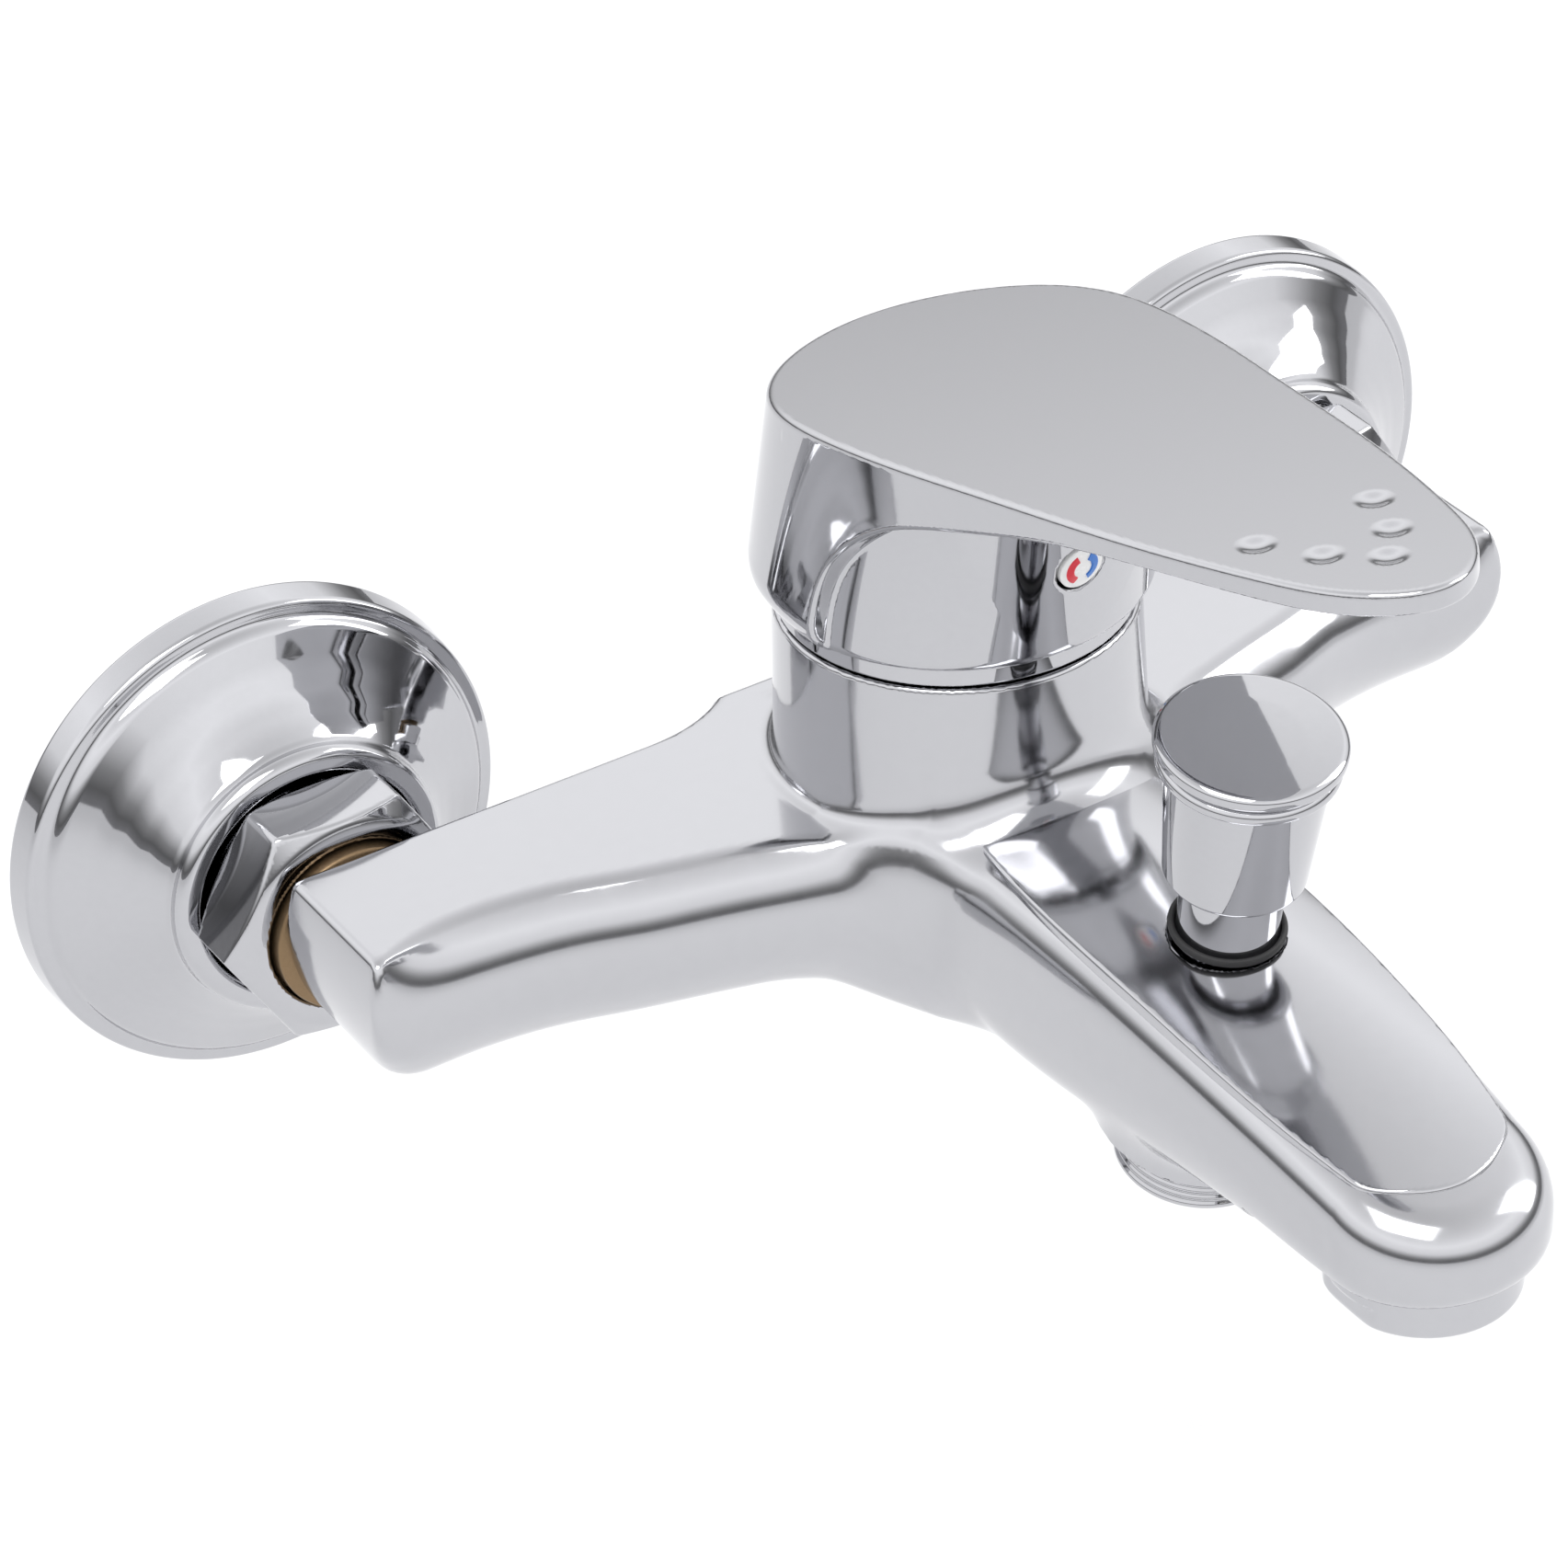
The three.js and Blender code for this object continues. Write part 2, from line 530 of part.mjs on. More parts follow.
function handleParts() {
  add("handle_lever", handleLever(), chrome);
  const screw = bar(2, [0, TOWER_Y - 4.3, SCREW_Z], [0, TOWER_Y - 10.5, SCREW_Z]);
  const key = bar(1.1, [0, TOWER_Y - 8, SCREW_Z], [0, TOWER_Y - 12, SCREW_Z], 6);
  add("handle_set_screw", screw.subtract(key), steel);
  const button = union(
    bar(3, [0, BUTTON_Y, SCREW_Z], [0, BUTTON_Y + 2, SCREW_Z], 20),
    bar(2.2, [0, BUTTON_Y + 1, SCREW_Z], [0, BUTTON_Y + 6, SCREW_Z]),
  );
  const marks = [["red_index_mark", 2, 4.2, red], ["blue_index_mark", -1.1, 1.1, blue]];
  const recesses = marks.map(([, from, to]) => indexMark(from, to, 0.15, BUTTON_Y - 1, BUTTON_Y + 0.8));
  add("index_button", cut(button, ...recesses), white);
  for (const [name, from, to, colour] of marks) {
    add(name, indexMark(from, to, 0, BUTTON_Y - 0.1, BUTTON_Y + 0.6), colour);
  }
}

// ---- Coil springs on the diverter axis ----
function spring(radius, wire, from, to, turns) {
  class Helix extends THREE.Curve {
    getPoint(t) {
      const a = t * turns * 2 * Math.PI;
      const rise = from + wire + (to - from - 2 * wire) * t;
      return new THREE.Vector3(radius * Math.cos(a), rise, radius * Math.sin(a));
    }
  }
  const section = new THREE.Shape();
  section.absarc(0, 0, wire, 0, 2 * Math.PI, false);
  const options = { steps: turns * 8, extrudePath: new Helix(), curveSegments: 2, bevelEnabled: false };
  return solid(new THREE.ExtrudeGeometry(section, options).applyMatrix4(diverterFrame));
}

// ---- Diverter ----
function diverterParts() {
  const knob = [
    [2.2, 17], [4.8, 17], [4.8, 23.4], [6.8, 23.4], [6.8, 9.6], [8, 9.4], [8.6, 9.9], [9.85, 26],
    [10.9, 26.5], [11, 27.2], [10.4, 27.9], [2.2, 27.9],
  ];
  const gland = [
    [5, -3.4], [6.5, -3.4], [6.5, 0.6], [6.2, 1.2], [6.2, 13.4], [5.7, 13.9], [2.2, 13.9], [2.2, 6], [5, 6],
  ];
  const cap = [[0, 28.2], [10.6, 28.2], [11.4, 28.9], [11.4, 30], [10.9, 30.6], [0, 31]];
  const ring = [[6.8, 0.8], [7.1, 1.1], [7.1, 2.1], [6.8, 2.4], [6.5, 2.1], [6.5, 1.1]];
  add("diverter_knob", turnedDiverter(closed(knob), 28), chrome);
  add("diverter_knob_cap", turnedDiverter(cap, 32), chrome);
  add("diverter_stem", turnedDiverter(rod(1.9, -21.6, 27.6), 14), brass);
  add("diverter_gland", turnedDiverter(closed(gland)), chrome);
  add("diverter_o_ring", turnedDiverter(closed(ring)), rubber);
  add("diverter_plunger", turnedDiverter(tube(2.2, 6.4, -18.3, -16.8), 20), acetal);
  add("upper_plunger_seal", turnedDiverter(tube(2.2, 6.8, -16.5, -15.3), 20), rubber);
  add("lower_plunger_seal", turnedDiverter(tube(2.2, 6.8, -20.7, -18.6), 20), rubber);
  add("diverter_spring", spring(3.6, 0.4, -15, 5.7, 7), steel);
}

// ---- Outlets ----
function showerParts() {
  const nipple = [
    [7, -37.4], [OUTLET_R - 0.8, -37.4], [OUTLET_R, -36.6], [OUTLET_R, -31.6], [8.5, -31.6], [8.5, -22.7],
    [7, -22.7],
  ];
  const cage = [[5.8, -35], [6.7, -35], [6.7, -25], [3.2, -25], [3.2, -26.4], [5.8, -26.4]];
  const arms = [0, Math.PI / 2].map((turn) => {
    const beam = new THREE.BoxGeometry(12.4, 1.2, 1.6).rotateY(turn).translate(0, -34.4, 0);
    return solid(beam.applyMatrix4(diverterFrame));
  });
  const guide = turnedDiverter(rod(2.4, -35, -33.8), 14);
  const poppet = [[0, -36], [0.9, -36], [0.9, -28.3], [4.7, -28.3], [4.7, -26.7], [0, -26.7]];
  add("shower_outlet_nipple", turnedDiverter(closed(nipple), 24), chrome);
  const cagePieces = union(turnedDiverter(closed(cage), 16), guide, ...arms);
  add("check_valve_cage", cut(cagePieces, turnedDiverter(rod(1.2, -37, -32), 10)), acetal);
  add("check_valve_poppet", turnedDiverter(poppet, 16), acetal);
  add("check_valve_spring", spring(2.1, 0.25, -33.4, -28.6, 3), steel);
}

function aeratorParts() {
  const y = NOSE_Y + 1;
  const collar = [
    [9.2, -12.4], [AERATOR_R - 0.4, -12.4], [AERATOR_R, -12], [AERATOR_R, -6.8], [10.4, -6.8], [10.4, -1],
    [9.2, -1],
  ];
  const flats = [-1, 1].map((side) => block(4, 14, 3.4, side * (AERATOR_R + 1.1), y, -11.2));
  add("aerator_housing", cut(turnedZ(closed(collar), 28, 0, y), ...flats), chrome);
  const holes = [0, 1, 2, 3, 4, 5].map((i) => {
    const a = (i * Math.PI) / 3;
    return turnedZ(rod(1.5, -14, 0), 6, 5.2 * Math.cos(a), y + 5.2 * Math.sin(a));
  });
  const core = turnedZ([[0, -10.6], [8.8, -10.6], [8.8, -4], [0, -4]], 20, 0, y);
  add("aerator_insert", cut(core, ...holes, turnedZ(rod(1.5, -14, 0), 6, 0, y)), acetal);
  add("aerator_washer", turnedZ(tube(7, 10.3, -0.7, 1), 20, 0, y), rubber);
}

add("body_casting", bodyCasting(), chrome);
inletSet(-1, "left");
inletSet(1, "right");
cartridgeParts();
spindleParts();
handleParts();
diverterParts();
showerParts();
aeratorParts();

export default group;
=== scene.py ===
"""Wall mounted bath mixer in chrome: fine pieces round the fixed CAD frame, a plain studio and a camera."""

import json
import math

import bmesh
import bpy
import numpy as np
from mathutils import Matrix, Vector


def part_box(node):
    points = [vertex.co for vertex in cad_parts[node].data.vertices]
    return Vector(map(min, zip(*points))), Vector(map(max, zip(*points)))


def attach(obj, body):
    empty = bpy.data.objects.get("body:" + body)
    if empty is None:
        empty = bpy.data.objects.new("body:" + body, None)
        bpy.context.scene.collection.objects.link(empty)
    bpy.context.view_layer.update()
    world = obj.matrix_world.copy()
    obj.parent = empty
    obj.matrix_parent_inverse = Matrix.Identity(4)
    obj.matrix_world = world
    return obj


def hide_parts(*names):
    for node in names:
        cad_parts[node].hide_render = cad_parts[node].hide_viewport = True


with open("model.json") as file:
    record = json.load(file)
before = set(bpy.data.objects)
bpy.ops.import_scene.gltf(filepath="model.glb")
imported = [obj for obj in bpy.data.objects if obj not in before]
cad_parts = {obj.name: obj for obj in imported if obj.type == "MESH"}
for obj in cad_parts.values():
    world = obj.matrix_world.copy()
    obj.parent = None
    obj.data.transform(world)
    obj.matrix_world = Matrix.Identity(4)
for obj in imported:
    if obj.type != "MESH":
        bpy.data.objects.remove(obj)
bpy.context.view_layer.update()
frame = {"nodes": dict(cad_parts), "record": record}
MM = 0.001


# ---- Driving dimensions, read from the frame, in millimetres ----


def span(node):
    """Lowest and highest corner of a CAD node in millimetres."""
    low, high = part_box(node)
    return np.array(low) / MM, np.array(high) / MM


BODY_LOW, BODY_HIGH = span("body_casting")
LEVER_LOW, LEVER_HIGH = span("handle_lever")
AERATOR_LOW, AERATOR_HIGH = span("aerator_housing")
NUT_LOW, NUT_HIGH = span("right_union_nut")
FLANGE_LOW, FLANGE_HIGH = span("right_escutcheon")
BONNET_LOW, BONNET_HIGH = span("bonnet_ring")
ARM_END = BODY_HIGH[0]
ARM_BACK = -30.5
ARM_TOP = 11.3
TOWER_TOP = BODY_HIGH[2]
TOWER_Y = (BONNET_LOW[1] + BONNET_HIGH[1]) / 2
TOWER_R = 22.9
INLET_X = (NUT_LOW[0] + NUT_HIGH[0]) / 2
FLANGE_R = (FLANGE_HIGH[2] - FLANGE_LOW[2]) / 2
HEX_AF = NUT_HIGH[2] - NUT_LOW[2]
NUT_FRONT = NUT_LOW[1]
NIPPLE_R = 8.0
NOSE_R = 14.0
NOSE_MARGIN = 0.5  # the blend of arms and spout swells the nose by a little less than this
NOSE_Y = BODY_LOW[1] + NOSE_R + NOSE_MARGIN
AERATOR_Y = (AERATOR_LOW[1] + AERATOR_HIGH[1]) / 2
AERATOR_R = 11.7
AERATOR_SEAT = -6.5
HANDLE_BASE = LEVER_LOW[2]
PADDLE_SLOPE = math.tan(math.radians(9.45))
PADDLE_Z = LEVER_HIGH[2] - PADDLE_SLOPE * (TOWER_Y - LEVER_LOW[1])
DRUM_R = 24.6
DRUM_FLARE = 0.2
BUTTON_Z = 50.0
KNOB_LEAN = math.radians(9)
KNOB_FOOT = np.array([0.0, -108.5, 14.5])
KNOB_UP = np.array([0.0, -math.sin(KNOB_LEAN), math.cos(KNOB_LEAN)])


# ---- Smooth shapes: fields that are negative inside, in millimetres ----


def round_min(a, b, k):
    """The union of two fields with a fillet of about k."""
    h = np.clip(0.5 + 0.5 * (b - a) / k, 0, 1)
    return b + (a - b) * h - k * h * (1 - h)


def round_max(a, b, k):
    """The overlap of two fields with a rounded edge of about k."""
    return -round_min(-a, -b, k)


def rod_field(x, y, z, foot, way, r, low, high):
    """A round bar about the line through foot along way, from low to high on that line."""
    dx, dy, dz = x - foot[0], y - foot[1], z - foot[2]
    along = dx * way[0] + dy * way[1] + dz * way[2]
    off = np.sqrt(np.maximum(dx**2 + dy**2 + dz**2 - along**2, 0))
    return np.maximum(off - r, np.maximum(low - along, along - high))


def spline(points):
    """A curve without kinks through (place, value) pairs. It gives the value and the slope."""
    x, y = np.array(sorted(points), float).T
    n = len(x)
    step = np.diff(x)
    system = np.eye(n)
    right = np.zeros(n)
    for i in range(1, n - 1):
        system[i, i - 1 : i + 2] = step[i - 1], 2 * (step[i - 1] + step[i]), step[i]
        right[i] = 6 * ((y[i + 1] - y[i]) / step[i] - (y[i] - y[i - 1]) / step[i - 1])
    bend = np.linalg.solve(system, right)

    def curve(at):
        inside = np.clip(at, x[0], x[-1])
        i = np.clip(np.searchsorted(x, inside) - 1, 0, n - 2)
        h, left, far = step[i], inside - x[i], x[i + 1] - inside
        value = (bend[i] * far**3 + bend[i + 1] * left**3) / (6 * h)
        value = value + (y[i] / h - bend[i] * h / 6) * far + (y[i + 1] / h - bend[i + 1] * h / 6) * left
        slope = (bend[i + 1] * left**2 - bend[i] * far**2) / (2 * h)
        slope = slope + (y[i + 1] - y[i]) / h - (bend[i + 1] - bend[i]) * h / 6
        return value + slope * (at - inside), slope

    return curve


def put(name, mesh):
    made = bpy.data.objects.new(name, mesh)
    bpy.context.scene.collection.objects.link(made)
    return made


def grid_quads(inside, index, shape):
    """One quad round every grid edge that crosses the surface, wound to face out."""
    faces = []
    for axis in range(3):
        u, v = (axis + 1) % 3, (axis + 2) % 3
        here = [slice(1, n) for n in shape]
        here[axis] = slice(0, shape[axis])
        ahead = list(here)
        ahead[axis] = slice(1, shape[axis] + 1)
        a, b = inside[tuple(here)], inside[tuple(ahead)]
        place = np.argwhere(a != b) + np.array([0 if i == axis else 1 for i in range(3)])
        ring = []
        for du, dv in ((0, 0), (1, 0), (1, 1), (0, 1)):
            at = place.copy()
            at[:, u] -= du
            at[:, v] -= dv
            ring.append(index[at[:, 0], at[:, 1], at[:, 2]])
        quads = np.stack(ring, 1)
        turned_in = ~a[a != b]
        quads[turned_in] = quads[turned_in][:, ::-1]
        faces.append(quads)
    return np.concatenate(faces)


def field_points(field, low, high, cell):
    """Vertices and quads of the surface where field is zero, with the field's own normals."""
    axes = [np.arange(a - 2 * cell, b + 3 * cell, cell) for a, b in zip(low, high)]
    values = field(*np.meshgrid(*axes, indexing="ij", sparse=True))
    values = np.broadcast_to(values, [len(a) for a in axes]).astype(np.float32)
    inside = values < 0
    shape = np.array(values.shape) - 1
    total = np.zeros([*shape, 3], np.float32)
    count = np.zeros(shape, np.float32)
    for a in np.ndindex(2, 2, 2):
        for axis in range(3):
            if a[axis]:
                continue
            b = tuple(c + (i == axis) for i, c in enumerate(a))
            part_a = tuple(slice(c, c + n) for c, n in zip(a, shape))
            part_b = tuple(slice(c, c + n) for c, n in zip(b, shape))
            crossed = inside[part_a] != inside[part_b]
            change = np.where(crossed, values[part_a] - values[part_b], 1)
            share = np.where(crossed, values[part_a] / change, 0)
            for i in range(3):
                total[..., i] += np.where(crossed, a[i] + (share if i == axis else 0), 0)
            count += crossed
    used = count > 0
    index = -np.ones(shape, np.int64)
    index[used] = np.arange(int(used.sum()))
    points = np.argwhere(used) + total[used] / count[used][:, None]
    points = points * cell + np.array([a[0] for a in axes])

    def slope(p):
        h = 0.02
        ways = np.array([[1, -1, -1], [-1, -1, 1], [-1, 1, -1], [1, 1, 1]], float)
        return sum(w * field(*(p + h * w).T)[:, None] for w in ways) / (4 * h)

    for _ in range(4):
        way = slope(points)
        step = field(*points.T)[:, None] * way / np.maximum((way**2).sum(1, keepdims=True), 0.05)
        length = np.linalg.norm(step, axis=1, keepdims=True)
        points = points - step * np.minimum(1, 0.4 * cell / np.maximum(length, 1e-9))
    way = slope(points)
    way /= np.maximum(np.linalg.norm(way, axis=1, keepdims=True), 1e-9)
    return points, grid_quads(inside, index, shape), way


def field_piece(name, *parts):
    """One object from several fields, each given as (field, low, high, cell)."""
    points, faces, normals = [], [], []
    start = 0
    for field, low, high, cell in parts:
        p, f, n = field_points(field, low, high, cell * (1))
        points.append(p)
        faces.append(f + start)
        normals.append(n)
        start += len(p)
    mesh = bpy.data.meshes.new(name)
    mesh.from_pydata((np.concatenate(points) * MM).tolist(), [], np.concatenate(faces).tolist())
    mesh.shade_smooth()
    mesh.normals_split_custom_set_from_vertices(np.concatenate(normals).tolist())
    return put(name, mesh)


# ---- Turned pieces ----


def rounded(profile, radius, is_closed, steps=5):
    """The profile with each corner cut back by up to radius and rounded off."""
    points = [Vector(p) for p in profile]
    n = len(points)
    out = []
    for i, corner in enumerate(points):
        if not is_closed and i in (0, n - 1):
            out.append(corner)
            continue
        back, ahead = points[i - 1] - corner, points[(i + 1) % n] - corner
        cut = min(radius, back.length * 0.45, ahead.length * 0.45)
        a, b = corner + back.normalized() * cut, corner + ahead.normalized() * cut
        for j in range(steps + 1):
            t = j / steps
            out.append(a * (1 - t) ** 2 + corner * 2 * t * (1 - t) + b * t * t)
    return out


def turned(name, profile, place, radius=0.35, is_closed=True, segments=160):
    """A turned solid: profile is (radius, height) in millimetres, place puts the height axis in the frame."""
    segments = segments
    outline = rounded(profile, radius, is_closed)
    made = bmesh.new()
    rings = []
    for r, h in outline:
        if r < 1e-6:
            rings.append([made.verts.new(place @ Vector((0, 0, h)) * MM)])
            continue
        turn = [i / segments * math.tau for i in range(segments)]
        ring = [place @ Vector((r * math.cos(a), r * math.sin(a), h)) * MM for a in turn]
        rings.append([made.verts.new(point) for point in ring])
    pairs = list(zip(rings, rings[1:] + rings[:1])) if is_closed else list(zip(rings, rings[1:]))
    for low, high in pairs:
        for i in range(segments):
            j = (i + 1) % segments
            if len(low) == 1 and len(high) == 1:
                continue
            if len(low) == 1:
                made.faces.new((low[0], high[j], high[i]))
            elif len(high) == 1:
                made.faces.new((low[i], low[j], high[0]))
            else:
                made.faces.new((low[i], low[j], high[j], high[i]))
    bmesh.ops.recalc_face_normals(made, faces=made.faces)
    mesh = bpy.data.meshes.new(name)
    made.to_mesh(mesh)
    made.free()
    mesh.shade_smooth()
    piece = put(name, mesh)
    piece.modifiers.new("even shading", "WEIGHTED_NORMAL").keep_sharp = True
    return piece


def square_to_wall(x):
    """Heights of the profile run along Y, so that negative heights stand out from the wall."""
    return Matrix.Translation((x, 0, 0)) @ Matrix.Rotation(-math.pi / 2, 4, "X")


def upright(x, y):
    return Matrix.Translation((x, y, 0))


DIVERTER = Matrix.Translation(KNOB_FOOT) @ Matrix.Rotation(KNOB_LEAN, 4, "X")


# ---- Body casting ----

SPOUT_HALF = spline([(-30, 17.4), (-62, 17.4), (-96, 16.9), (-124, 15.7), (-148, NOSE_R)])
SPOUT_TOP = spline(
    [(-30, 12.8), (-50, 13.6), (-66, 14.2), (-82, 14.7), (-95, 14.6), (-108, 13.7), (-124, 11.4),
     (-140, 8.4), (-162, 3.4)]
)
SPOUT_CROWN = spline([(-60, 2.3), (-95, 2.6), (-124, 2.1), (-160, 1.1)])
SPOUT_UNDER = spline(
    [(-30, -13), (-52, -14.6), (-70, -17), (-86, -17.7), (-102, -16.6), (-118, -14), (-134, -10), (-148, -8)]
)
UNDER_ROUND = spline([(-30, 17), (-60, 17), (-90, 17), (-118, 15.5), (-136, 9), (-150, 5), (-170, 5)])


# How far the arm's front stands out from the wall, and how deep its round is above the middle.
ARM_REACH = spline(
    [(0, 64.9), (19, 64.9), (25, 64.3), (36, 61.5), (47.5, 58.3), (56, 55.8), (63, 54.5), (70.6, 53.9),
     (80.5, 53.9), (85, 53.6), (90, 53)]
)
ARM_DEPTH = spline([(0, 16), (60, 16), (70, 16), (76, 14.2), (80.5, 9.8), (85, 4), (90, 3)])
ARM_UNDER_DEPTH = 16.2
ARM_MIDDLE = 2.0
ARM_ABOVE, ARM_BELOW = 12.9, 15.7  # half heights of the round front above and below its middle
END_LEVEL = 4.0  # where the ends bulge furthest
END_ROUND = 13.0
END_DROP, END_RISE = 17.8, 7.3  # from that level to the arm's bottom and top


def arms_field(x, y, z):
    """A bar with a flat back, a round front and ends that bulge at mid height and round under."""
    out = np.abs(x)
    reach, turn = ARM_REACH(out)
    height = z - ARM_MIDDLE
    depth = np.where(height > 0, np.maximum(ARM_DEPTH(out)[0], 3), ARM_UNDER_DEPTH)
    half = np.where(height > 0, ARM_ABOVE, ARM_BELOW)
    bulge = np.minimum((y + reach - depth) / np.sqrt(1 + turn**2), 0)
    share = np.sqrt((bulge / depth) ** 2 + (height / half) ** 2) + 1e-9
    grade = np.sqrt((bulge / depth**2) ** 2 + (height / half**2) ** 2) / share + 1e-9
    front = (share - 1) / grade
    drop = np.clip((END_LEVEL - z) / END_DROP, 0, 0.995)
    rise = np.maximum(z - END_LEVEL, 0) / END_RISE
    end = out - (ARM_END - 1.6 * rise**2 - END_ROUND * (1 - np.sqrt(1 - drop**2)))
    end = end / np.sqrt(1 + (0.9 * drop) ** 2)
    return round_max(round_max(front, end, 1.2 + 2.5 * np.clip(drop * 2, 0, 1)), y - ARM_BACK, 1.2)


def spout_field(x, y, z):
    """The spout: a crowned top, nearly upright sides, a full round underside and a half round nose."""
    half, _ = SPOUT_HALF(np.maximum(y, NOSE_Y))
    top, rise = SPOUT_TOP(y)
    crown, _ = SPOUT_CROWN(y)
    under, fall = SPOUT_UNDER(y)
    beyond = np.minimum(y - NOSE_Y, 0)
    side = np.sqrt(x**2 + beyond**2 + 1e-9) - half + 0.004 * (z + 2) ** 2
    over = (z - top + crown * (x / 14) ** 2) / np.sqrt(1 + rise**2)
    below = (under - z) / np.sqrt(1 + fall**2)
    section = round_max(round_max(side, over, 5.5), below, UNDER_ROUND(y)[0])
    return np.maximum(section, y - ARM_BACK)


def tower_field(x, y, z):
    r = np.sqrt(x**2 + (y - TOWER_Y) ** 2 + 1e-9)
    wall = r - (TOWER_R + (TOWER_TOP - z) * 0.035)
    return round_max(round_max(wall, z - TOWER_TOP, 0.6), -16.4 - z, 12)


CARTRIDGE_BORE, CARTRIDGE_FLOOR = 17.9, -1.5
LOCK_NUT_BORE, LOCK_NUT_FLOOR = 20.3, 24.4
AERATOR_BORE = 10.7
# Radius and the two ends along the knob's axis.
DIVERTER_BORES = [
    (6.8, -4, 30), (7.8, -7.6, -3.8), (5.3, -24, -7), (7.8, -21, -8.5), (8.8, -40, -22.4), (11.4, -40, -31.2),
]


def bores_field(x, y, z):
    """The cartridge seat, the two inlets and the diverter's bores."""
    tower = (0, TOWER_Y, 0)
    up = (0, 0, 1)
    bores = np.minimum(
        rod_field(x, y, z, tower, up, CARTRIDGE_BORE, CARTRIDGE_FLOOR, TOWER_TOP + 3),
        rod_field(x, y, z, tower, up, LOCK_NUT_BORE, LOCK_NUT_FLOOR, TOWER_TOP + 3),
    )
    for r, low, high in DIVERTER_BORES:
        bores = np.minimum(bores, rod_field(x, y, z, KNOB_FOOT, KNOB_UP, r, low, high))
    for side in (-1, 1):
        inlet = (side * INLET_X, 0, 0)
        bores = np.minimum(bores, rod_field(x, y, z, inlet, (0, 1, 0), NIPPLE_R + 0.3, -45, ARM_BACK + 3))
    return np.minimum(bores, rod_field(x, y, z, (0, AERATOR_Y, 0), up, AERATOR_BORE, -12, 1.4))


def body_field(x, y, z):
    spout = spout_field(x, y, z)
    wings = round_min(arms_field(x, y, z), spout, 17)
    flat = round_max(wings, z - ARM_TOP, 0.9)
    ahead = np.clip((TOWER_Y - 4 - y) / 14, 0, 1)
    whole = round_min(round_min(flat, spout, 1.5), tower_field(x, y, z), 2.2 + 5.5 * ahead)
    boss = rod_field(x, y, z, KNOB_FOOT, KNOB_UP, 12.6, -31, -14)
    whole = round_min(whole, boss, 3)
    under_nose = np.maximum(z - AERATOR_SEAT, y - (NOSE_Y + NOSE_R + 2))
    whole = round_max(whole, -under_nose, 0.8)
    return round_max(whole, -bores_field(x, y, z), 0.5)


PANEL_HALF = spline(
    [(-64, 10.6), (-72, 12.4), (-82, 13.9), (-95, 14.7), (-110, 14.6), (-126, 13.8), (-140, 12.3),
     (-158, 8.6)]
)
PANEL_STEP = 0.75


def panel_field(x, y, z):
    """The raised panel that follows the crown of the spout, with an arched rear end and a curved front."""
    half, grow = PANEL_HALF(y)
    top, rise = SPOUT_TOP(y)
    crown, _ = SPOUT_CROWN(y)
    side = (np.abs(x) - half) / np.sqrt(1 + grow**2)
    front = (-154 + 0.047 * x**2) - y
    rear = y + 68 + 0.028 * x**2
    plan = round_max(round_max(side, front, 1.2), rear, 2.5)
    over = (z - top + crown * (x / 14) ** 2 - PANEL_STEP) / np.sqrt(1 + rise**2)
    slab = np.maximum(round_max(plan, over, 0.5), -over - 3)
    bore = rod_field(x, y, z, KNOB_FOOT, KNOB_UP, 6.9, -10, 20)
    return round_max(slab, -bore, 0.3)


body = field_piece(
    "body_shell",
    (body_field, BODY_LOW, BODY_HIGH, 0.7),
    (panel_field, (-16, -156, 0), (16, -66, 17), 0.4),
)


# ---- Lever ----

OUTLINE = spline(
    [(-18.1, 0), (-12, 290), (-5, 515), (3, 620), (12, 625), (24, 566), (36, 478), (48, 396), (60, 316),
     (70, 243), (80, 167), (88, 99), (96, 0)]
)
LEVER_EDGE = spline(
    [(34, 7), (44, 8.6), (52, 12.2), (58, 17.9), (63, 25.9), (68, 39), (72, 51.5), (74.3, 62), (76.6, 76),
     (78.8, 90), (81, 104)]
)
DIMPLES = [(-8, 72), (-4.6, 79.6), (0, 85), (4.6, 79.6), (8, 72)]
DIMPLE_R = 4.4
DIMPLE_DEPTH = 0.4


